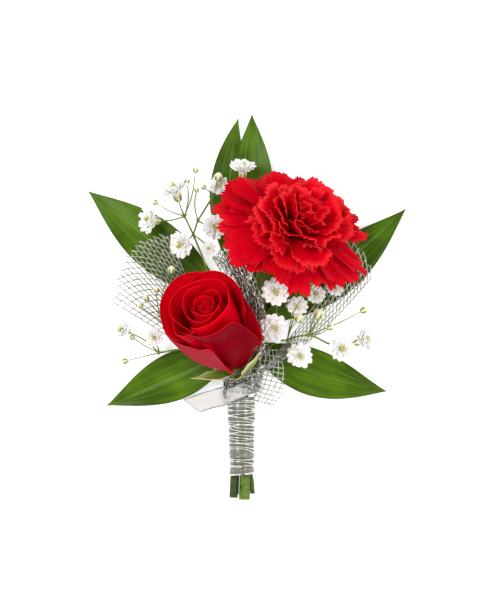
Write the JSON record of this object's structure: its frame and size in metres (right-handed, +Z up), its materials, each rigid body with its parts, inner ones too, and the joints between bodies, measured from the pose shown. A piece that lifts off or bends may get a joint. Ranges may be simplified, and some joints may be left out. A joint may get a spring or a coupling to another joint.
{
  "type": "boutonniere",
  "caption": "Boutonniere lying on its back: a red rose and a fringed red carnation on ruscus leaves with baby's breath, metallic net ribbon and a wire-wound silver handle.",
  "frame": {"origin": "centre of the bounding box in X and Y, at the surface that the boutonniere lies on", "axes": "+Y runs from the cut stems up to the leaf tips, +X to the right as the blooms are looked at, +Z up from the surface, towards the blooms' faces"},
  "size_m": [0.1279, 0.1546, 0.0515],
  "materials": {
    "rose_red": "fresh petals with a velvety sheen",
    "rose_green": "waxy pale green skin",
    "carnation_red": "matt fresh petals with a fringed rim",
    "carnation_green": "waxy grey-green skin",
    "ruscus_green": "glossy leathery leaf",
    "gypsophila": "papery white florets on thin green stems",
    "net_silver": "bright metallic thread in an open mesh",
    "sheer_white": "sheer woven ribbon with corded edges",
    "tape_silver": "satin silver-grey wrapping",
    "wire_silver": "polished silver wire"
  },
  "bodies": {
    "root": {"rose_bloom": "rose_red", "rose_stem": "rose_green", "carnation_bloom": "carnation_red", "carnation_stem": "carnation_green", "ruscus_sprig": "ruscus_green", "gypsophila_spray_upper": "gypsophila", "gypsophila_spray_left": "gypsophila", "gypsophila_spray_right": "gypsophila", "net_left": "net_silver", "net_right": "net_silver", "net_lower": "net_silver", "net_crumple": "net_silver", "net_gather": "net_silver", "sheer_ribbon": "sheer_white", "handle_tape": "tape_silver", "silver_wire": "wire_silver"}
  },
  "joints": []
}
